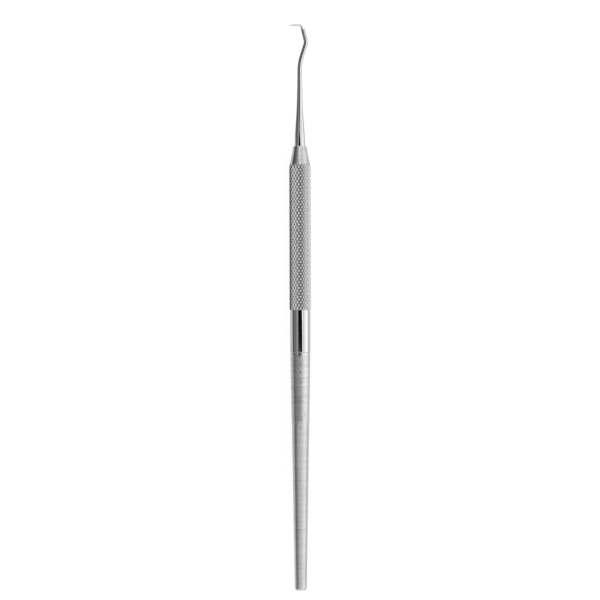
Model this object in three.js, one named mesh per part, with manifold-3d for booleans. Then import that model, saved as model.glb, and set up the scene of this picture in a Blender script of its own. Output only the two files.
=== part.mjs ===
// A single-ended dental explorer, lying with its hook to the side: a hooked working end, a knurled grip and a tail.
// Millimetres, +Z up. +Y runs along the handle from the butt to the point, and the hook turns towards -X.
// The origin is the centre of the flat face on the butt, on the handle's axis.
import * as THREE from 'three';
import { mergeVertices } from 'three/addons/utils/BufferGeometryUtils.js';
import Module from 'manifold-3d';

const wasm = await Module();
wasm.setup();

// Tail, the tapered rear length of the handle
const tailLength = 69;
const buttDiameter = 3.45;
const buttCornerRadius = 0.75;
const tailFrontChamfer = 0.1;
const spigotDiameter = 3.2;
const spigotLength = 9;

// Grip, turned from one bar: the polished collar, the knurled barrel and the nose cone
const collarDiameter = 5.95;
const collarLength = 12.2;
const collarRearChamfer = 0.15;
const barrelLength = 47.5;
const crestHeight = 0.225; // of the diamonds, above the collar
const knurlDepth = 0.34; // of the grooves, below the crests
const knurlStarts = 20;
const knurlHelixDegrees = 29.7;
const knurlBevelLength = 0.4;
const mouthWall = 0.32;
const noseHalfAngleDegrees = 11.3;
const noseRimLength = 1.3;
const noseRimFlat = 0.1;

// Working end, ground from one rod: tang, flared shank, two bends and the hook
const rodDiameter = 3.06;
const tangLength = 12;
const shankStraightLength = 22;
const flareHalfLength = 8.8; // from the mouth to where the flare has lost half of what it loses
const flarePower = 2.1;
const neckDiameter = 1.05; // that the flare tends to
const lowerBendRadius = 13.8;
const lowerBendDegrees = 17.4;
const middleLength = 3.4;
const upperBendRadius = 2.85;
const upperBendDegrees = 31;
const terminalLength = 3.67;
const hookInsideRadius = 0.33;
const hookDegrees = 90; // between the point and the handle's axis
const hookRootDiameter = 0.62;
const pointLength = 3.4;
const pointDiameter = 0.08;

// Fits: the step and the fine seam between collar and tail, the solder film in both bores, and the air behind
const seamStep = 0.075;
const seamGap = 0.05;
const filmThickness = 0.05;
const boreEndClearance = 0.5;
const insertedEndChamfer = 0.3;

// Facets and allowances of the model
const turnedSides = 3 * knurlStarts;
const rodSides = 24;
const cornerSteps = 5;
const straightStep = 2;
const bendStepDegrees = 5;
const cutOverrun = 1; // of a cutting shape, past the face it opens
const coreInset = 0.05; // of the plain bar under the knurl, below the grooves

const toRadians = THREE.MathUtils.degToRad;

const steel = {
  polished: { color: 0xc9c9c9, roughness: 0.08, metalness: 1 },
  knurled: { color: 0xb0b0b0, roughness: 0.38, metalness: 1 },
  satin: { color: 0xb6b6b6, roughness: 0.42, metalness: 1 },
};

// Radii and places along the handle
const collarRadius = collarDiameter / 2;
const crestRadius = collarRadius + crestHeight;
const grooveRadius = crestRadius - knurlDepth;
const tangBoreRadius = rodDiameter / 2 + filmThickness;
const mouthRadius = tangBoreRadius + mouthWall;
const gripRear = tailLength + seamGap;
const barrelRear = gripRear + collarLength;
const mouth = barrelRear + barrelLength;

// A solid of revolution about Y from [radius, y] pairs, with a flat facet facing straight down
function turned(profile, sides) {
  const points = profile.map(([radius, y]) => new THREE.Vector2(radius, y));
  return new THREE.LatheGeometry(points, sides, Math.PI / sides, 2 * Math.PI);
}

// A plain round bar between two places on the axis
function roundBar(radius, rear, front, sides) {
  return turned([[0, rear], [radius, rear], [radius, front], [0, front]], sides);
}

// Booleans work on closed meshes with merged vertices, without normals and texture coordinates
function toSolid(geometry) {
  const bare = geometry.clone();
  bare.deleteAttribute('normal');
  bare.deleteAttribute('uv');
  const merged = mergeVertices(bare, 1e-5);
  const corners = Array.from(merged.index.array);
  const faces = [];
  for (let i = 0; i < corners.length; i += 3) {
    const [a, b, c] = corners.slice(i, i + 3);
    if (a !== b && b !== c && c !== a) faces.push(a, b, c);
  }
  return new wasm.Manifold(new wasm.Mesh({
    numProp: 3,
    vertProperties: new Float32Array(merged.attributes.position.array),
    triVerts: new Uint32Array(faces),
  }));
}

function toGeometry(solid) {
  const mesh = solid.getMesh();
  const geometry = new THREE.BufferGeometry();
  geometry.setAttribute('position', new THREE.BufferAttribute(new Float32Array(mesh.vertProperties), 3));
  geometry.setIndex(new THREE.BufferAttribute(new Uint32Array(mesh.triVerts), 1));
  geometry.computeVertexNormals();
  return geometry;
}

// Tail: a plain cone with a rounded butt, and the spigot that enters the collar
function makeTail() {
  const buttRadius = buttDiameter / 2;
  const frontRadius = collarRadius - seamStep;
  const spigotRadius = spigotDiameter / 2;
  const spigotEnd = tailLength + spigotLength;
  const buttCorner = [];
  for (let step = 0; step <= cornerSteps; step += 1) {
    const angle = (step / cornerSteps) * (Math.PI / 2);
    buttCorner.push([
      buttRadius - buttCornerRadius * (1 - Math.sin(angle)),
      buttCornerRadius * (1 - Math.cos(angle)),
    ]);
  }
  return turned([
    [0, 0],
    ...buttCorner,
    [frontRadius, tailLength - tailFrontChamfer],
    [frontRadius - tailFrontChamfer, tailLength],
    [spigotRadius, tailLength],
    [spigotRadius, spigotEnd - insertedEndChamfer],
    [spigotRadius - insertedEndChamfer, spigotEnd],
    [0, spigotEnd],
  ], turnedSides);
}

// Half the spacing of the diamonds along the axis: the grooves cross at the helix angle, measured at mid depth
const middleCircumference = Math.PI * (crestRadius + grooveRadius);
const knurlRowHeight = middleCircumference / (2 * knurlStarts) / Math.tan(toRadians(knurlHelixDegrees));

// A bar covered in pyramids: crests and groove crossings take turns round the bar and along it
function makeKnurledBar(rear, front) {
  const columns = 2 * knurlStarts;
  const rows = Math.ceil((front - rear) / knurlRowHeight);
  const positions = [];
  const faces = [];
  for (let row = 0; row <= rows; row += 1) {
    for (let column = 0; column < columns; column += 1) {
      const radius = (row + column) % 2 === 0 ? crestRadius : grooveRadius;
      const angle = ((column + 0.5) / columns) * 2 * Math.PI;
      positions.push(radius * Math.sin(angle), rear + row * knurlRowHeight, radius * Math.cos(angle));
    }
  }
  for (let row = 0; row < rows; row += 1) {
    for (let column = 0; column < columns; column += 1) {
      const next = (column + 1) % columns;
      const here = row * columns + column;
      const beside = row * columns + next;
      const ahead = here + columns;
      const across = beside + columns;
      // each square folds along the groove, between its two low corners
      if ((row + column) % 2 === 0) faces.push(here, beside, ahead, across, ahead, beside);
      else faces.push(here, across, ahead, here, beside, across);
    }
  }
  const rearCentre = (rows + 1) * columns;
  const frontCentre = rearCentre + 1;
  positions.push(0, rear, 0);
  positions.push(0, rear + rows * knurlRowHeight, 0);
  for (let column = 0; column < columns; column += 1) {
    const next = (column + 1) % columns;
    faces.push(rearCentre, next, column);
    faces.push(frontCentre, rows * columns + column, rows * columns + next);
  }
  const bar = new THREE.BufferGeometry();
  bar.setAttribute('position', new THREE.Float32BufferAttribute(positions, 3));
  bar.setIndex(faces);
  return bar;
}

const noseSlope = Math.tan(toRadians(noseHalfAngleDegrees));

// What the lathe leaves of the bar: collar, knurl with a bevelled rear end, nose cone and rounded mouth
function makeTurnedShape(clearRadius) {
  const bevelSlope = knurlBevelLength / crestHeight;
  const rimCurve = new THREE.QuadraticBezierCurve(
    new THREE.Vector2(mouthRadius + noseRimLength * noseSlope, mouth - noseRimLength),
    new THREE.Vector2(mouthRadius, mouth),
    new THREE.Vector2(tangBoreRadius + noseRimFlat, mouth),
  );
  return turned([
    [0, gripRear],
    [collarRadius - collarRearChamfer, gripRear],
    [collarRadius, gripRear + collarRearChamfer],
    [collarRadius, barrelRear],
    [clearRadius, barrelRear + (clearRadius - collarRadius) * bevelSlope],
    [clearRadius, mouth - (clearRadius - mouthRadius) / noseSlope],
    ...rimCurve.getPoints(cornerSteps).map((point) => [point.x, point.y]),
    [0, mouth],
  ], turnedSides);
}

// Grip: the knurled bar with a plain bar behind it and another inside it, turned to shape and bored from both ends
function makeGrip() {
  const clearRadius = crestRadius + knurlDepth;
  const coreRadius = grooveRadius - coreInset;
  const spigotBoreRadius = spigotDiameter / 2 + filmThickness;
  const spigotBoreEnd = tailLength + spigotLength + boreEndClearance;
  const tangBoreEnd = mouth - tangLength - boreEndClearance;
  const knurlFront = mouth - (coreRadius - coreInset - mouthRadius) / noseSlope;

  const knurledBar = makeKnurledBar(barrelRear - knurlRowHeight / 2, knurlFront);
  const collarBar = roundBar(clearRadius, gripRear - cutOverrun, barrelRear, turnedSides);
  const core = roundBar(coreRadius, gripRear, mouth + cutOverrun, turnedSides);
  const tangBore = roundBar(tangBoreRadius, tangBoreEnd, mouth + cutOverrun, rodSides);
  const spigotBore = roundBar(spigotBoreRadius, gripRear - cutOverrun, spigotBoreEnd, turnedSides);
  const grip = toSolid(knurledBar)
    .add(toSolid(collarBar))
    .add(toSolid(core))
    .intersect(toSolid(makeTurnedShape(clearRadius)))
    .subtract(toSolid(tangBore))
    .subtract(toSolid(spigotBore));
  return toGeometry(grip);
}

// The working end's centre line, from the mouth of the nose to the point, in runs that are straight or turn left
function straight(length) {
  return { length, turn: 0, rings: Math.ceil(length / straightStep) };
}

function bend(radius, degrees) {
  const turn = toRadians(degrees);
  return { length: radius * Math.abs(turn), turn, rings: Math.ceil(Math.abs(degrees) / bendStepDegrees) };
}

const hookBend = bend(hookInsideRadius + neckDiameter / 2, hookDegrees + lowerBendDegrees - upperBendDegrees);
const routeRuns = [
  straight(shankStraightLength),
  bend(lowerBendRadius, -lowerBendDegrees),
  straight(middleLength),
  bend(upperBendRadius, upperBendDegrees),
  straight(terminalLength),
  hookBend,
  straight(pointLength),
];
const pointEnd = routeRuns.reduce((sum, run) => sum + run.length, 0);
const hookEnd = pointEnd - pointLength;
const hookStart = hookEnd - hookBend.length;

// Place and heading of the centre line at a distance from the mouth
function routeAt(distance) {
  let x = 0;
  let y = mouth;
  let heading = Math.PI / 2;
  let left = distance;
  for (const run of routeRuns) {
    const part = Math.min(left, run.length);
    if (run.turn === 0) {
      x += part * Math.cos(heading);
      y += part * Math.sin(heading);
    } else {
      const radius = run.length / run.turn;
      const end = heading + run.turn * (part / run.length);
      x += radius * (Math.sin(end) - Math.sin(heading));
      y -= radius * (Math.cos(end) - Math.cos(heading));
      heading = end;
    }
    left -= part;
    if (left <= 0) break;
  }
  return { x, y, heading };
}

// Diameter of the flare, which leaves the rod softly, narrows fast and then runs out towards the neck
function flareDiameter(distance) {
  const lost = 1 + (distance / flareHalfLength) ** flarePower;
  return neckDiameter + (rodDiameter - neckDiameter) / lost;
}

// Diameter of the working end at a distance from the mouth, with the hook ground down in its bend and to the point
function shankDiameter(distance) {
  if (distance < hookStart) return flareDiameter(distance);
  if (distance < hookEnd) {
    return THREE.MathUtils.mapLinear(distance, hookStart, hookEnd, flareDiameter(hookStart), hookRootDiameter);
  }
  return THREE.MathUtils.mapLinear(distance, hookEnd, pointEnd, hookRootDiameter, pointDiameter);
}

// Distances from the mouth at which the working end has a ring of corners
function ringDistances() {
  const distances = [0];
  let start = 0;
  for (const run of routeRuns) {
    for (let ring = 1; ring <= run.rings; ring += 1) {
      distances.push(start + (run.length * ring) / run.rings);
    }
    start += run.length;
  }
  return distances;
}

// Working end: turned straight along Y, with the mouth at Y = 0, and then carried ring by ring onto the centre line
function makeWorkingEnd() {
  const rodRadius = rodDiameter / 2;
  const rod = turned([
    [0, -tangLength],
    [rodRadius - insertedEndChamfer, -tangLength],
    [rodRadius, -tangLength + insertedEndChamfer],
    ...ringDistances().map((distance) => [shankDiameter(distance) / 2, distance]),
    [0, pointEnd],
  ], rodSides);
  const corners = rod.attributes.position;
  for (let i = 0; i < corners.count; i += 1) {
    const distance = corners.getY(i);
    const sideways = corners.getX(i);
    const { x, y, heading } = routeAt(Math.max(distance, 0));
    const behindMouth = Math.min(distance, 0);
    corners.setX(i, x + sideways * Math.sin(heading));
    corners.setY(i, y + behindMouth - sideways * Math.cos(heading));
  }
  rod.computeVertexNormals();
  return rod;
}

function part(name, geometry, finish) {
  const mesh = new THREE.Mesh(geometry, new THREE.MeshStandardMaterial(finish));
  mesh.name = name;
  return mesh;
}

const explorer = new THREE.Group();
explorer.add(part('working_end', makeWorkingEnd(), steel.polished));
explorer.add(part('grip', makeGrip(), steel.knurled));
explorer.add(part('tail', makeTail(), steel.satin));

export default explorer;
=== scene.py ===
# Looks of a single-ended dental explorer, lying with its hook to the left, seen from straight above.
import math

import bmesh
import bpy
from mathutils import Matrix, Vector


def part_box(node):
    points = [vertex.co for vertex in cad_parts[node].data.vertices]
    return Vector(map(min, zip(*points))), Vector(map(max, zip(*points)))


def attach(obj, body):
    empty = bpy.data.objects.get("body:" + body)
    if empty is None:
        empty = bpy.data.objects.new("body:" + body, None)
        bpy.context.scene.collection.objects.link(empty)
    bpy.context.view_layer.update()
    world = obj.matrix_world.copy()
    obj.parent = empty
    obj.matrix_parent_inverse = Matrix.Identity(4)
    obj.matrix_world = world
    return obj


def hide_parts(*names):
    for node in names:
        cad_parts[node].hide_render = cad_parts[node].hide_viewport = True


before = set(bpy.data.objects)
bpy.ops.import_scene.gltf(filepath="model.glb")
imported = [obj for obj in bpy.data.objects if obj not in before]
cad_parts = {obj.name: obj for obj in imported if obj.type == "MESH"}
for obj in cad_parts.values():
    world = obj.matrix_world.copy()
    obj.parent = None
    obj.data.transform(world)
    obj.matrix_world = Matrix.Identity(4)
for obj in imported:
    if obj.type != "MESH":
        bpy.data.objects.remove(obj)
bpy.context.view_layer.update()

MM = 0.001

# Lengths below are in millimetres and angles in degrees. The handle's axis is x = z = 0, and +Y runs from the
# butt to the point. A rounding, or a size called ROUND, is the radius of an arc.

# Places that the CAD parts in model.glb give
grip_low, grip_high = (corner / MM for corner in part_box("grip"))
tail_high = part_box("tail")[1] / MM
end_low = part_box("working_end")[0] / MM
GRIP_REAR = grip_low[1]
MOUTH = grip_high[1]
CREST = grip_high[0]
FLOOR = grip_low[2]
TANG_REAR = end_low[1]
SPIGOT_FRONT = tail_high[1]

# Sizes of the tail
TAIL_FRONT = 69
TAIL_FRONT_RADIUS = 2.9
TAIL_FRONT_ROUND = 0.08
BUTT_RADIUS = 1.725
BUTT_ROUND = 0.75
SPIGOT_RADIUS = 1.6
SPIGOT_ROUND = 0.3
BAND_LENGTH = 1.1
FINE_REAR = 48.5
FINE_STARTS = 30
FINE_PERIOD = 1.37
FINE_RISE = 0.02  # of the crests, above the taper
FINE_DEPTH = 0.07
FINE_FLANK = 0.3  # from a groove to the middle of a diamond's rounding, as a share of its width
FINE_ROUND = 0.12  # half of that rounding, as a share too

# Sizes of the grip
COLLAR_RADIUS = 2.975
COLLAR_LENGTH = 12.2
COLLAR_ROUND = 0.06
BARREL_REAR = GRIP_REAR + COLLAR_LENGTH
BEVEL_LENGTH = 0.4
BEVEL_DEPTH = 0.25
KNURL_STARTS = 20
KNURL_PERIOD = 1.669
KNURL_TURN = -1  # of the diamonds round the handle
KNURL_SHIFT = KNURL_PERIOD / 2  # of the diamonds along it
KNURL_DEPTH = 0.3
KNURL_RINGS = ((0, 0), (0.1, 0.13), (0.2, 0.42), (0.3, 0.72), (0.4, 0.92))
CONE_REAR = 122.3
NOSE_SLOPE = math.tan(math.radians(11.3))
NOSE_RIM_LENGTH = 1.3
SHOULDER_ROUND = 1.5
MOUTH_RADIUS = 1.9
MOUTH_ROUND = 0.1
BORE_RADIUS = 1.58
BORE_ROUND = 0.05
CREST_ROOM = 0.05  # between the crests and the shape that the barrel is limited to

# Faces of the barrel that the nose cone has turned
GRAZED_LENGTH = 0.5  # behind the cone, where it still grazes a diamond
SKIN = 0.02  # below the cone, for a face that lies on it
CLEAN_LENGTH = 3  # from the cone's rear end to where no diamond is left

# Sizes of the working end, whose bends are a radius and a turn to the left
ROD_RADIUS = 1.53
TANG_CHAMFER = 0.3
STRAIGHT = 22
FLARE_HALF = 8.8  # from the mouth to where the flare has lost half of what it loses
FLARE_POWER = 2.1
NECK_RADIUS = 0.525  # that the flare tends to
LOWER_BEND = (13.8, -17.4)
MIDDLE = 3.4
UPPER_BEND = (2.85, 31)
TERMINAL = 3.67
HOOK_BEND = (0.86, 76.4)
HOOK_ROOT_RADIUS = 0.31
HOOK_LEAD = 0.25  # from where the shank narrows to the hook's bend
GROUND_LEAD = 0.1  # from where it is ground to where it narrows
POINT = 3.4
POINT_RADIUS = 0.04
POINT_ROUNDING = ((0.02, 1.0), (0.006, 0.7), (0.0, 0.0))  # distance from the tip and share of the radius

# Fineness of the meshes
SIDES = 192
ROD_SIDES = 64
ARC_STEPS = 6
ROUNDING_STEPS = (-1, -0.35, 0.35, 1)  # across a diamond's rounding, from its start to its end
TAPER_STEPS = 24
TAPER_REAR = 2  # place of the first step
LONGEST_STEP = 0.25  # along the shank
WIDEST_STEP = 2.5  # round a bend
SHARP_DEGREES = 32
SLAB_RADIUS = 4  # of a shape that limits another along the handle only
FORWARD = math.pi / 2  # heading of +Y, in radians

# Marks on the steel: their size (across, along) the handle, and how far they swing a tone or roughness
NOISE_RANGE = (0.3, 0.7)
NOISE_DETAIL = 4
POLISHED_RINGS = (6, 0.12)
POLISHED_BLOOM = (2.5, 5)
POLISHED_TONE_SWING = 0.03
POLISHED_ROUGHNESS_SWING = 0.03
POLISHED_RELIEF = 0.0006
SATIN_RINGS = (8, 0.1)
SATIN_BANDS = (12, 0.9)
SATIN_BLOOM = (3, 6)
RINGS_TONE_SWING = 0.06
BANDS_TONE_SWING = 0.05
SATIN_ROUGHNESS_SWING = 0.04
SATIN_RELIEF = 0.002
KNURL_GRAIN = (0.12, 0.12)
KNURL_RELIEF = 0.002
GRINDING = (2, 0.05)
GRINDING_TONE_SWING = 0.03
QUARTER_TURN = 0.25  # from a gloss that is drawn out round the handle to one along it

# Tone and roughness that change over a piece: two values, and the range over which one turns into the other.
# Heights are from a groove to the crests, and places are across the handle.
# Knurl tones darken towards the groove bottoms: partly grime, partly painted shade.
KNURL_GRIME_AND_SHADE_TONES = (0.3, 0.65)
KNURL_GRIME_AND_SHADE_HEIGHTS = (0, 0.25)
KNURL_ROUGHNESSES = (0.19, 0.15)
KNURL_ROUGHNESS_HEIGHTS = (0.2, 0.95)
# Hook tones turn pale towards its bend: a painted highlight.
HOOK_HIGHLIGHT_TONES = (0.58, 0.95)
HOOK_HIGHLIGHT_PLACES = (-1.5, -0.1)
HOOK_ROUGHNESS = 0.48


def as_object(name, mesh):
    """Object of a mesh, whose blunt edges look smooth."""
    mesh.name = name
    mesh.shade_smooth()
    mesh.set_sharp_from_angle(angle=math.radians(SHARP_DEGREES))
    thing = bpy.data.objects.new(name, mesh)
    bpy.context.scene.collection.objects.link(thing)
    return thing


def built(name, points, faces):
    """Object from points and faces, which are turned to point out."""
    mesh = bpy.data.meshes.new(name)
    mesh.from_pydata([Vector(point) * MM for point in points], [], faces)
    work = bmesh.new()
    work.from_mesh(mesh)
    bmesh.ops.recalc_face_normals(work, faces=work.faces)
    work.to_mesh(mesh)
    work.free()
    return as_object(name, mesh)


def faces_between(rings):
    """Faces that join neighbouring rings. A ring of one point closes the end."""
    faces = []
    for low, high in zip(rings, rings[1:]):
        count = max(len(low), len(high))
        for side in range(count):
            after = (side + 1) % count
            if len(low) == 1:
                faces.append((low[0], high[side], high[after]))
            elif len(high) == 1:
                faces.append((low[side], high[0], low[after]))
            else:
                faces.append((low[side], high[side], high[after], low[after]))
    return faces


def swept(name, stations, sides):
    """Solid along a centre line in the plane z = 0, from stations (x, y, heading, radius)."""
    points = []
    rings = []
    for x, y, heading, radius in stations:
        count = sides if radius else 1
        rings.append(list(range(len(points), len(points) + count)))
        for side in range(count):
            angle = 2 * math.pi * side / count
            aside = radius * math.sin(angle)
            above = radius * math.cos(angle)
            points.append((x + aside * math.sin(heading), y - aside * math.cos(heading), above))
    return built(name, points, faces_between(rings))


def turned(name, profile):
    """Solid turned about the handle's axis from a profile that starts and ends on it."""
    return swept(name, [(0, y, FORWARD, radius) for y, radius in profile], SIDES)


def rounded(corners):
    """Profile of (y, radius) points from corners (y, radius, rounding): each rounding becomes an arc."""
    profile = []
    for index, (y, radius, rounding) in enumerate(corners):
        here = Vector((y, radius))
        if not rounding:
            profile.append((y, radius))
            continue
        before = (Vector(corners[index - 1][:2]) - here).normalized()
        after = (Vector(corners[index + 1][:2]) - here).normalized()
        half = before.angle(after) / 2
        reach = rounding / math.tan(half)
        centre = here + (before + after).normalized() * rounding / math.sin(half)
        start = here + before * reach - centre
        turn = start.angle_signed(here + after * reach - centre)
        for step in range(ARC_STEPS + 1):
            angle = -turn * step / ARC_STEPS
            spoke = Vector((
                start.x * math.cos(angle) - start.y * math.sin(angle),
                start.x * math.sin(angle) + start.y * math.cos(angle),
            ))
            profile.append(tuple(centre + spoke))
    return profile


def rounded_rings(flank, rounding):
    """Rings of a diamond with straight flanks and a rounded top: (inset, height), see knurled_bar."""
    rings = [(0, 0)]
    for step in ROUNDING_STEPS:
        inset = flank + rounding * step
        short = flank + rounding - inset
        rings.append((inset, 1 - short * short / (4 * rounding * flank)))
    return rings


def knurled_bar(name, starts, period, rear, front, crest_at, depth, rings, turn=0, shift=0):
    """Bar covered with raised diamonds between grooves that wind both ways round the handle's axis.

    crest_at gives the crests' radius for a y. Each diamond is a stack of rings (inset, height): the inset is
    from its grooves, as a share of its width, and the height runs from 0 to 1. Its place is counted in
    grooves: u rises with the angle and with y, and v rises with the angle and falls with y."""
    points = []
    known = {}

    def millionths(value):
        return round(value * 1e6)

    def corner(u, v, height):
        key = (millionths(u + v) % millionths(2 * starts), millionths(u - v), millionths(height))
        if key not in known:
            known[key] = len(points)
            y = shift + (u - v) * period / 2
            radius = crest_at(y) - depth * (1 - height)
            angle = math.radians(turn) + math.pi * (u + v) / starts
            points.append((radius * math.sin(angle), y, radius * math.cos(angle)))
        return known[key]

    def ring(u, v, inset, height):
        low, mid, high = inset, 0.5, 1 - inset
        around = (
            (low, low), (mid, low), (high, low), (high, mid),
            (high, high), (mid, high), (low, high), (low, mid),
        )
        return [corner(u + a, v + b, height) for a, b in around]

    faces = []
    first = math.floor((rear - shift) * 2 / period) - 1
    last = math.ceil((front - shift) * 2 / period) + 1
    for row in range(first, last + 1):
        for column in range(starts):
            u = column + (row + row % 2) // 2
            v = u - row
            stack = [ring(u, v, inset, height) for inset, height in rings]
            stack.append([corner(u + 0.5, v + 0.5, 1)])
            faces += faces_between(stack)
    return with_ends(name, points, faces, rear - 2 * period, front + 2 * period)


def with_ends(name, points, faces, rear, front):
    """Object from points and faces round the handle's axis, with a cone over each open end."""
    work = bmesh.new()
    corners = [work.verts.new(point) for point in points]
    for face in faces:
        work.faces.new([corners[index] for index in face])
    middle = (rear + front) / 2
    for end in (rear, front):
        open_edges = [edge for edge in work.edges if edge.is_boundary]
        hub = work.verts.new((0, end, 0))
        for edge in open_edges:
            if (edge.verts[0].co.y < middle) == (end < middle):
                work.faces.new([*edge.verts, hub])
    work.verts.index_update()
    closed_points = [tuple(vertex.co) for vertex in work.verts]
    closed_faces = [[vertex.index for vertex in face.verts] for face in work.faces]
    work.free()
    return built(name, closed_points, closed_faces)


def combined(name, base, operation, other):
    """New object from one joined with or limited to another. Uses both up."""
    change = base.modifiers.new(operation, "BOOLEAN")
    change.operation = operation
    change.object = other
    change.solver = "MANIFOLD"
    bpy.context.view_layer.update()
    graph = bpy.context.evaluated_depsgraph_get()
    mesh = bpy.data.meshes.new_from_object(base.evaluated_get(graph))
    for used in (base, other):
        bpy.data.objects.remove(used)
    return as_object(name, mesh)


def finish(thing, *materials):
    """Gives a piece its materials, in the order in which its faces count them."""
    thing.data.materials.clear()
    for material in materials:
        thing.data.materials.append(material)


def show(thing, slot, *nodes):
    """Makes a piece ride on the one body, in the place of CAD nodes."""
    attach(thing, "root")
    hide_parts(*nodes)


# Shader nodes

def node(tree, kind, **settings):
    """New node of a kind, with its settings."""
    made = tree.nodes.new("ShaderNode" + kind)
    for name, value in settings.items():
        setattr(made, name, value)
    return made


def value_of(tree, operation, *values):
    """Result of a Math node on sockets and plain numbers."""
    made = node(tree, "Math", operation=operation)
    for socket, value in zip(made.inputs, values):
        if isinstance(value, (int, float)):
            socket.default_value = value
        else:
            tree.links.new(value, socket)
    return made.outputs[0]


def spread(tree, value, results, start, end):
    """Value mapped from start..end to the two results, and held there."""
    made = node(tree, "MapRange")
    made.inputs["From Min"].default_value = start
    made.inputs["From Max"].default_value = end
    made.inputs["To Min"].default_value = results[0]
    made.inputs["To Max"].default_value = results[1]
    tree.links.new(value, made.inputs["Value"])
    return made.outputs["Result"]


def axes_of(tree, vector):
    """X, Y and Z of a vector."""
    parts = node(tree, "SeparateXYZ")
    tree.links.new(vector, parts.inputs[0])
    return parts.outputs["X"], parts.outputs["Y"], parts.outputs["Z"]


def mixed(tree, amount, first, second):
    """Shader that turns from the first into the second as the amount goes from 0 to 1."""
    made = node(tree, "MixShader")
    tree.links.new(amount, made.inputs[0])
    tree.links.new(first.outputs[0], made.inputs[1])
    tree.links.new(second.outputs[0], made.inputs[2])
    return made


# Steel

def steel(name, tone, roughness, anisotropy=0.0):
    """Steel with its shader and the object's own coordinates, for the marks that the makers below add."""
    material = bpy.data.materials.new(name)
    material.use_nodes = True
    tree = material.node_tree
    shader = tree.nodes["Principled BSDF"]
    shader.inputs["Base Color"].default_value = (tone, tone, tone, 1)
    shader.inputs["Metallic"].default_value = 1
    shader.inputs["Roughness"].default_value = roughness
    if anisotropy:
        shader.inputs["Anisotropic"].default_value = anisotropy
        shader.inputs["Anisotropic Rotation"].default_value = QUARTER_TURN
        tangent = node(tree, "Tangent", direction_type="RADIAL", axis="Y")
        tree.links.new(tangent.outputs[0], shader.inputs["Tangent"])
    place = node(tree, "TexCoord")
    return material, tree, shader, place.outputs["Object"]


def marks(tree, place, size):
    """Noise whose features have a size (across, along), as a value that mostly keeps to NOISE_RANGE."""
    across, along = size
    scaled = node(tree, "Mapping")
    scaled.inputs["Scale"].default_value = (1 / (across * MM), 1 / (along * MM), 1 / (across * MM))
    noise = node(tree, "TexNoise")
    noise.inputs["Scale"].default_value = 1
    noise.inputs["Detail"].default_value = NOISE_DETAIL
    tree.links.new(place, scaled.inputs["Vector"])
    tree.links.new(scaled.outputs[0], noise.inputs["Vector"])
    return noise.outputs["Fac"]


def swung(tree, noise, middle, swing):
    """Middle value, changed by noise by no more than the swing."""
    return spread(tree, noise, (middle - swing, middle + swing), *NOISE_RANGE)


def grey(tree, value, shader):
    """Links a value to the shader's colour as a grey."""
    made = node(tree, "CombineColor")
    for channel in made.inputs:
        tree.links.new(value, channel)
    tree.links.new(made.outputs[0], shader.inputs["Base Color"])


def relief(tree, value, height, shader):
    """Bumps of a height."""
    made = node(tree, "Bump")
    made.inputs["Strength"].default_value = 1
    made.inputs["Distance"].default_value = height * MM
    tree.links.new(value, made.inputs["Height"])
    tree.links.new(made.outputs[0], shader.inputs["Normal"])


def polished_steel(name, tone, roughness):
    """Mirror polish, with faint rings from the lathe and a cloudy bloom from handling."""
    material, tree, shader, place = steel(name, tone, roughness)
    bloom = marks(tree, place, POLISHED_BLOOM)
    tree.links.new(swung(tree, bloom, roughness, POLISHED_ROUGHNESS_SWING), shader.inputs["Roughness"])
    rings = marks(tree, place, POLISHED_RINGS)
    grey(tree, swung(tree, rings, tone, POLISHED_TONE_SWING), shader)
    relief(tree, rings, POLISHED_RELIEF, shader)
    return material


def satin_steel(name, tone, roughness, anisotropy):
    """Fine turning marks round the handle, which draw reflections out along it."""
    material, tree, shader, place = steel(name, tone, roughness, anisotropy)
    bloom = marks(tree, place, SATIN_BLOOM)
    tree.links.new(swung(tree, bloom, roughness, SATIN_ROUGHNESS_SWING), shader.inputs["Roughness"])
    rings = marks(tree, place, SATIN_RINGS)
    bands = marks(tree, place, SATIN_BANDS)
    in_rings = swung(tree, rings, 0, RINGS_TONE_SWING)
    in_bands = swung(tree, bands, 0, BANDS_TONE_SWING)
    grey(tree, value_of(tree, "ADD", value_of(tree, "ADD", in_rings, in_bands), tone), shader)
    relief(tree, rings, SATIN_RELIEF, shader)
    return material


def knurled_steel():
    """Cut diamonds: rougher down in the grooves and burnished on the crests, and darker down in the grooves,
    which is partly grime and partly painted shade.
    """
    material, tree, shader, place = steel("knurled_steel", KNURL_GRIME_AND_SHADE_TONES[1], KNURL_ROUGHNESSES[1])
    x, _, z = axes_of(tree, place)
    flat = node(tree, "CombineXYZ")
    tree.links.new(x, flat.inputs["X"])
    tree.links.new(z, flat.inputs["Z"])
    radius = node(tree, "VectorMath", operation="LENGTH")
    tree.links.new(flat.outputs[0], radius.inputs[0])
    height = spread(tree, radius.outputs["Value"], (0, 1), (CREST - KNURL_DEPTH) * MM, CREST * MM)
    roughness = spread(tree, height, KNURL_ROUGHNESSES, *KNURL_ROUGHNESS_HEIGHTS)
    tree.links.new(roughness, shader.inputs["Roughness"])
    # Colour darker towards the groove bottoms: partly grime, partly painted shade.
    grey(tree, spread(tree, height, KNURL_GRIME_AND_SHADE_TONES, *KNURL_GRIME_AND_SHADE_HEIGHTS), shader)
    relief(tree, marks(tree, place, KNURL_GRAIN), KNURL_RELIEF, shader)
    return material


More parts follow.
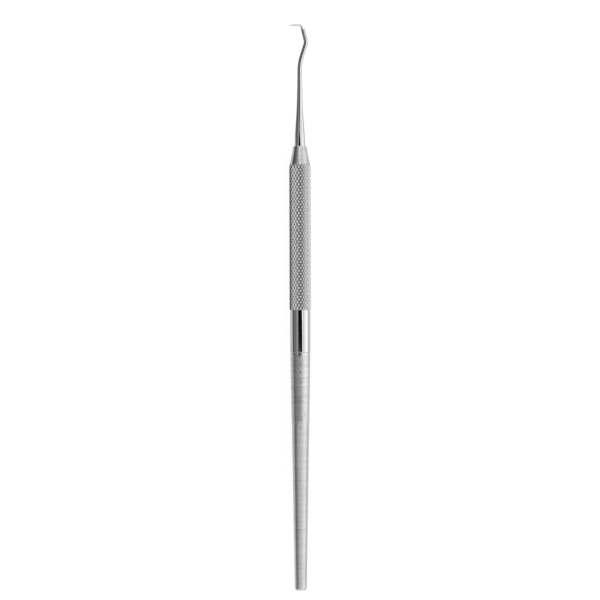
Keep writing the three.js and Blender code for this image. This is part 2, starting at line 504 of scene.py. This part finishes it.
def ground_steel():
    """Hook, ground by hand: paler in its bend than along the point, which is a painted highlight, with fine
    marks along it.
    """
    material, tree, shader, place = steel("ground_steel", HOOK_HIGHLIGHT_TONES[0], HOOK_ROUGHNESS)
    x, _, _ = axes_of(tree, place)
    start, end = HOOK_HIGHLIGHT_PLACES
    # Painted highlight: the tone rises towards the hook's bend.
    tone = spread(tree, x, HOOK_HIGHLIGHT_TONES, start * MM, end * MM)
    grinding = swung(tree, marks(tree, place, GRINDING), 0, GRINDING_TONE_SWING)
    grey(tree, value_of(tree, "ADD", tone, grinding), shader)
    return material


POLISHED = polished_steel("polished_steel", tone=0.6, roughness=0.08)
SATIN = satin_steel("satin_steel", tone=0.64, roughness=0.38, anisotropy=0.95)
FINE_SATIN = satin_steel("fine_satin", tone=0.6, roughness=0.24, anisotropy=0.8)
NOSE_SATIN = satin_steel("nose_satin", tone=0.6, roughness=0.28, anisotropy=0.5)
KNURLED = knurled_steel()
GROUND = ground_steel()


# Working end: tang, flared shank, two bends and the hook

def flared(distance):
    """Radius at a distance from the mouth: it leaves the rod softly, narrows fast and tends to the neck."""
    return NECK_RADIUS + (ROD_RADIUS - NECK_RADIUS) / (1 + (distance / FLARE_HALF) ** FLARE_POWER)


def working_end():
    """Rod from the tang to the point, through straight runs and bends, and ground from the hook on."""
    runs = [(STRAIGHT, 0), LOWER_BEND, (MIDDLE, 0), UPPER_BEND, (TERMINAL, 0), HOOK_BEND, (POINT, 0)]
    lengths = [size * math.radians(abs(turn)) if turn else size for size, turn in runs]
    point_start = sum(lengths) - POINT
    hook_start = point_start - lengths[-2] - HOOK_LEAD

    def radius_at(distance):
        if distance < hook_start:
            return flared(distance)
        if distance < point_start:
            share = (distance - hook_start) / (point_start - hook_start)
            return flared(hook_start) + (HOOK_ROOT_RADIUS - flared(hook_start)) * share
        return HOOK_ROOT_RADIUS + (POINT_RADIUS - HOOK_ROOT_RADIUS) * (distance - point_start) / POINT

    stations = [
        (0, TANG_REAR, FORWARD, 0),
        (0, TANG_REAR, FORWARD, ROD_RADIUS - TANG_CHAMFER),
        (0, TANG_REAR + TANG_CHAMFER, FORWARD, ROD_RADIUS),
    ]
    x, y, heading, distance = 0.0, MOUTH, FORWARD, 0.0
    for (size, turn), length in zip(runs, lengths):
        steps = math.ceil(max(length / LONGEST_STEP, abs(turn) / WIDEST_STEP))
        step = length / steps
        bend = math.radians(turn) / steps
        for _ in range(steps):
            stations.append((x, y, heading, radius_at(distance)))
            if distance < hook_start - GROUND_LEAD:
                ground_from = y
            chord = step * (math.sin(bend / 2) / (bend / 2) if bend else 1)
            x += chord * math.cos(heading + bend / 2)
            y += chord * math.sin(heading + bend / 2)
            heading += bend
            distance += step
    for inset, share in POINT_ROUNDING:
        radius = POINT_RADIUS * share
        stations.append((x - inset * math.cos(heading), y - inset * math.sin(heading), heading, radius))
    shank = swept("hooked_shank", stations, ROD_SIDES)
    finish(shank, POLISHED, GROUND)
    for face in shank.data.polygons:
        face.material_index = int(face.center.y / MM > ground_from)
    return shank


# Grip: the knurled barrel with its nose cone, and the polished collar

def nose_radius(y):
    """Radius of the nose cone, which runs on to the crests of the diamonds, and of the rim in front of it."""
    rim = MOUTH - NOSE_RIM_LENGTH
    rim_radius = CREST - (rim - CONE_REAR) * NOSE_SLOPE
    if y < rim:
        return rim_radius + (rim - y) * NOSE_SLOPE
    return rim_radius + (MOUTH_RADIUS - rim_radius) * (y - rim) / NOSE_RIM_LENGTH


def barrel():
    """Knurled bar, limited to the bevel, the crests, the nose cone and the bore of the tang."""
    envelope = turned("envelope", rounded([
        (BARREL_REAR, 0, 0),
        (BARREL_REAR, CREST - BEVEL_DEPTH, 0),
        (BARREL_REAR + BEVEL_LENGTH, CREST + CREST_ROOM, 0),
        (CONE_REAR - CREST_ROOM / NOSE_SLOPE, CREST + CREST_ROOM, 0),
        (MOUTH - NOSE_RIM_LENGTH, nose_radius(MOUTH - NOSE_RIM_LENGTH), SHOULDER_ROUND),
        (MOUTH, MOUTH_RADIUS, MOUTH_ROUND),
        (MOUTH, BORE_RADIUS, BORE_ROUND),
        (TANG_REAR, BORE_RADIUS, 0),
        (TANG_REAR, 0, 0),
    ]))
    bar = knurled_bar(
        "bar", KNURL_STARTS, KNURL_PERIOD, BARREL_REAR, MOUTH,
        lambda y: CREST, KNURL_DEPTH, KNURL_RINGS, KNURL_TURN, KNURL_SHIFT,
    )
    grip = combined("knurled_barrel", bar, "INTERSECT", envelope)
    finish(grip, KNURLED, NOSE_SATIN)

    def on_cone(corner):
        radius = math.hypot(corner.x, corner.z)
        return corner.y > CONE_REAR - GRAZED_LENGTH and radius > nose_radius(corner.y) - SKIN

    for face in grip.data.polygons:
        corners = [grip.data.vertices[index].co / MM for index in face.vertices]
        past_diamonds = face.center.y / MM > CONE_REAR + CLEAN_LENGTH
        face.material_index = int(past_diamonds or all(on_cone(corner) for corner in corners))
    return grip


def collar():
    """Plain polished length behind the barrel."""
    thing = turned("polished_collar", rounded([
        (GRIP_REAR, 0, 0),
        (GRIP_REAR, COLLAR_RADIUS, COLLAR_ROUND),
        (BARREL_REAR, COLLAR_RADIUS, 0),
        (BARREL_REAR, 0, 0),
    ]))
    finish(thing, POLISHED)
    return thing


# Tail: polished band, fine shallow knurl and the satin taper down to the butt

def tail_radius(y):
    """Radius of the plain taper."""
    return BUTT_RADIUS + (TAIL_FRONT_RADIUS - BUTT_RADIUS) * y / TAIL_FRONT


def tail():
    """Taper with its butt and spigot, joined with the sleeve of fine diamonds round it."""
    taper = [
        TAIL_FRONT - (TAIL_FRONT - TAPER_REAR) * step / TAPER_STEPS
        for step in range(TAPER_STEPS, 0, -1)
    ]
    core = turned("core", rounded([
        (0, 0, 0),
        (0, tail_radius(0), BUTT_ROUND),
        *((y, tail_radius(y), 0) for y in taper),
        (TAIL_FRONT, tail_radius(TAIL_FRONT), TAIL_FRONT_ROUND),
        (TAIL_FRONT, SPIGOT_RADIUS, 0),
        (SPIGOT_FRONT, SPIGOT_RADIUS, SPIGOT_ROUND),
        (SPIGOT_FRONT, 0, 0),
    ]))
    band_rear = TAIL_FRONT - BAND_LENGTH
    bar = knurled_bar(
        "fine_bar", FINE_STARTS, FINE_PERIOD, FINE_REAR, band_rear,
        lambda y: tail_radius(y) + FINE_RISE, FINE_DEPTH, rounded_rings(FINE_FLANK, FINE_ROUND),
    )
    slab = turned("slab", [
        (FINE_REAR, 0), (FINE_REAR, SLAB_RADIUS),
        (band_rear, SLAB_RADIUS), (band_rear, 0),
    ])
    sleeve = combined("sleeve", bar, "INTERSECT", slab)
    thing = combined("tapered_tail", core, "UNION", sleeve)
    finish(thing, SATIN, FINE_SATIN, POLISHED)
    for face in thing.data.polygons:
        face.material_index = (face.center.y / MM > FINE_REAR) + (face.center.y / MM > band_rear)
    return thing


show(working_end(), "polished_steel", "working_end")
show(barrel(), "knurled_steel", "grip")
show(collar(), "knurled_steel", "grip")
show(tail(), "satin_steel", "tail")


# Studio: white floor, bright wall on the right, dim wall on the left, dark gap overhead for the camera

# Floor. The ground that steel reflects is a glow, even on the right. On the left it darkens far away and by
# the shank, as painted shade
FLOOR_HALF = 2500
FLOOR_TONE = 0.9
FLOOR_WHITE = 0.85  # share of white that the camera sees
FLOOR_GLOW = 1.08
FLOOR_MIRRORED = 0.8  # share of the ground that the steel reflects
FLOOR_RIGHT = 0.86
FLOOR_LEFT = 0.86
FLOOR_SEAM = 1  # half of the width over which left turns into right
# Painted shade on the glowing ground that steel reflects: darker far to the left and by the shank.
FLOOR_FAR_LEFT_SHADE = 0.3
FLOOR_FADE = (-45, -14)
FLOOR_SHADE_BY_SHANK = 0.1
FLOOR_SHANK = (128, 136)

# Gap for the camera, an oval
GAP_HALF_WIDTH = 18.5
GAP_HALF_LENGTH = 12
GAP_LEAN = 1  # to the left, for each degree towards the point
GAP_TONE = 0.01
GAP_EDGE = (0.95, 1.3)  # from dark to light, in squares of the distance from the middle, where the oval has 1

# Walls: brightness by the angle across the handle, from straight up to the right. The first table is for
# light that comes square to the handle, the next for light from nearer its ends, the last for light past them.
HORIZON = 96
BELOW_HORIZON = 0.8
NEAR_ENDS = (6, 22)  # where the first table turns into the next
FAR_ENDS = (36, 50)  # and that into the last
WALL_TOP = 1.7
PAST_TOP = 2.0
SQUARE_ON = (
    (-90, 0.02), (-80, 0.12), (-65, 0.3), (-50, 0.17), (-38, 0.5), (-28, 0.48), (-22, 0.05), (-10, 0.02),
    (0, 0.85), (12, 0.8), (20, 1.55), (29, 1.4), (38, 0.75), (50, 1.35), (62, 1.5), (75, 1.6), (90, 1.7),
)
TOWARDS_ENDS = (
    (-90, 0.0), (-65, 0.08), (-45, 0.12), (-30, 0.65), (-18, 0.75), (-6, 1.35), (4, 1.4), (16, 0.7),
    (32, 0.75), (50, 0.95), (70, 1.1), (92, 0.9),
)
PAST_ENDS = (
    (-92, 1.8), (-65, 1.6), (-45, 1.3), (-30, 1.2), (-18, 1.1), (0, 0.9), (18, 1.0), (32, 1.3), (50, 1.8),
    (70, 2.0), (92, 2.0),
)

# Camera: straight above, a metre up, a hair's turn off the handle's line
SENSOR_WIDTH = 36
LENS = 206.9
CAMERA_PLACE = (-0.07, 84.16, 1000)
CAMERA_TURN = -0.125
CLIP_METRES = (0.01, 100)


def ramp(tree, turn, stops, top):
    """Brightness by the share of a full turn, from stops (angle, brightness) no brighter than top."""
    below_left = ((-180, BELOW_HORIZON), (-HORIZON, BELOW_HORIZON))
    below_right = ((HORIZON, BELOW_HORIZON), (180, BELOW_HORIZON))
    made = node(tree, "ValToRGB")
    points = made.color_ramp.elements
    points.remove(points[1])
    for angle, brightness in (*below_left, *stops, *below_right):
        point = points.new(0.5 + angle / 360) if angle > -180 else points[0]
        share = brightness / top
        point.color = (share, share, share, 1)
    tree.links.new(turn, made.inputs[0])
    return value_of(tree, "MULTIPLY", made.outputs[0], top)


def blended(tree, along, degrees, near, far):
    """Light that changes from near to far over an angle towards the handle's ends."""
    blend = node(tree, "MapRange", interpolation_type="SMOOTHSTEP")
    blend.inputs["From Min"].default_value = math.sin(math.radians(degrees[0]))
    blend.inputs["From Max"].default_value = math.sin(math.radians(degrees[1]))
    tree.links.new(along, blend.inputs["Value"])
    gain = value_of(tree, "SUBTRACT", far, near)
    return value_of(tree, "ADD", near, value_of(tree, "MULTIPLY", gain, blend.outputs["Result"]))


def outside_gap(tree, across, along):
    """GAP_TONE in the dark oval round the camera, and 1 outside it."""
    degrees_across = value_of(tree, "MULTIPLY", across, math.degrees(1))
    degrees_along = value_of(tree, "MULTIPLY", value_of(tree, "ARCSINE", along), math.degrees(1))
    leant = value_of(tree, "ADD", degrees_across, value_of(tree, "MULTIPLY", degrees_along, GAP_LEAN))
    squares = []
    for degrees, half in ((leant, GAP_HALF_WIDTH), (degrees_along, GAP_HALF_LENGTH)):
        share = value_of(tree, "ABSOLUTE", value_of(tree, "DIVIDE", degrees, half))
        squares.append(value_of(tree, "POWER", share, 2))
    edge = node(tree, "MapRange", interpolation_type="SMOOTHSTEP")
    edge.inputs["From Min"].default_value, edge.inputs["From Max"].default_value = GAP_EDGE
    edge.inputs["To Min"].default_value = GAP_TONE
    tree.links.new(value_of(tree, "ADD", *squares), edge.inputs["Value"])
    return edge.outputs["Result"]


def studio():
    """World that lights by direction, as walls would. The camera sees it plain white."""
    world = bpy.data.worlds.new("studio")
    bpy.context.scene.world = world
    world.use_nodes = True
    tree = world.node_tree
    tree.nodes.clear()
    place = node(tree, "TexCoord")
    x, y, z = axes_of(tree, place.outputs["Generated"])
    across = value_of(tree, "ARCTAN2", x, z)
    along = value_of(tree, "ABSOLUTE", y)
    turn = value_of(tree, "ADD", value_of(tree, "DIVIDE", across, 2 * math.pi), 0.5)
    square_on = ramp(tree, turn, SQUARE_ON, WALL_TOP)
    towards_ends = ramp(tree, turn, TOWARDS_ENDS, WALL_TOP)
    past_ends = ramp(tree, turn, PAST_ENDS, PAST_TOP)
    near = blended(tree, along, NEAR_ENDS, square_on, towards_ends)
    walls = blended(tree, along, FAR_ENDS, near, past_ends)
    light = node(tree, "Background")
    tree.links.new(value_of(tree, "MULTIPLY", walls, outside_gap(tree, across, y)), light.inputs["Color"])
    white = node(tree, "Background")
    white.inputs["Color"].default_value = (1, 1, 1, 1)
    path = node(tree, "LightPath")
    seen = mixed(tree, path.outputs["Is Camera Ray"], light, white)
    output = node(tree, "OutputWorld")
    tree.links.new(seen.outputs[0], output.inputs["Surface"])


def floor():
    """Matt floor with the object's shadow. The camera sees it whitened, and steel reflects a pale glowing
    ground, with painted shade far to the left and by the shank.
    """
    material = bpy.data.materials.new("white_floor")
    material.use_nodes = True
    tree = material.node_tree
    tree.nodes.clear()
    matt = node(tree, "BsdfDiffuse")
    matt.inputs["Color"].default_value = (FLOOR_TONE, FLOOR_TONE, FLOOR_TONE, 1)
    glow = node(tree, "Emission")
    glow.inputs["Color"].default_value = (1, 1, 1, 1)
    glow.inputs["Strength"].default_value = FLOOR_GLOW
    place = node(tree, "TexCoord")
    x, y, _ = axes_of(tree, place.outputs["Object"])
    far, near = FLOOR_FADE
    rear, front = FLOOR_SHANK
    # Painted shade on the reflected ground: darker far to the left and by the shank.
    shaded_left = spread(tree, x, (FLOOR_FAR_LEFT_SHADE, FLOOR_LEFT), far * MM, near * MM)
    shade_by_shank = spread(tree, y, (1, FLOOR_SHADE_BY_SHANK), rear * MM, front * MM)
    left = value_of(tree, "MULTIPLY", shaded_left, shade_by_shank)
    on_right = spread(tree, x, (0, 1), -FLOOR_SEAM * MM, FLOOR_SEAM * MM)
    gain = value_of(tree, "MULTIPLY", value_of(tree, "SUBTRACT", FLOOR_RIGHT, left), on_right)
    ground = node(tree, "Emission")
    tree.links.new(value_of(tree, "ADD", left, gain), ground.inputs["Color"])
    path = node(tree, "LightPath")
    seen = value_of(tree, "MULTIPLY", path.outputs["Is Camera Ray"], FLOOR_WHITE)
    reflected = value_of(tree, "MAXIMUM", path.outputs["Is Glossy Ray"], path.outputs["Is Transmission Ray"])
    whitened = mixed(tree, seen, matt, glow)
    surface = mixed(tree, value_of(tree, "MULTIPLY", reflected, FLOOR_MIRRORED), whitened, ground)
    output = node(tree, "OutputMaterial")
    tree.links.new(surface.outputs[0], output.inputs["Surface"])
    corners = [
        (-FLOOR_HALF, -FLOOR_HALF, FLOOR), (FLOOR_HALF, -FLOOR_HALF, FLOOR),
        (FLOOR_HALF, FLOOR_HALF, FLOOR), (-FLOOR_HALF, FLOOR_HALF, FLOOR),
    ]
    thing = built("floor", corners, [(0, 1, 2, 3)])
    finish(thing, material)


def camera():
    """Camera that looks straight down."""
    data = bpy.data.cameras.new("camera")
    data.sensor_width = SENSOR_WIDTH
    data.lens = LENS
    data.clip_start, data.clip_end = CLIP_METRES
    thing = bpy.data.objects.new("camera", data)
    thing.location = Vector(CAMERA_PLACE) * MM
    thing.rotation_euler = (0, 0, math.radians(CAMERA_TURN))
    bpy.context.scene.collection.objects.link(thing)
    bpy.context.scene.camera = thing


studio()
floor()
camera()
bpy.context.scene.view_settings.view_transform = "Standard"
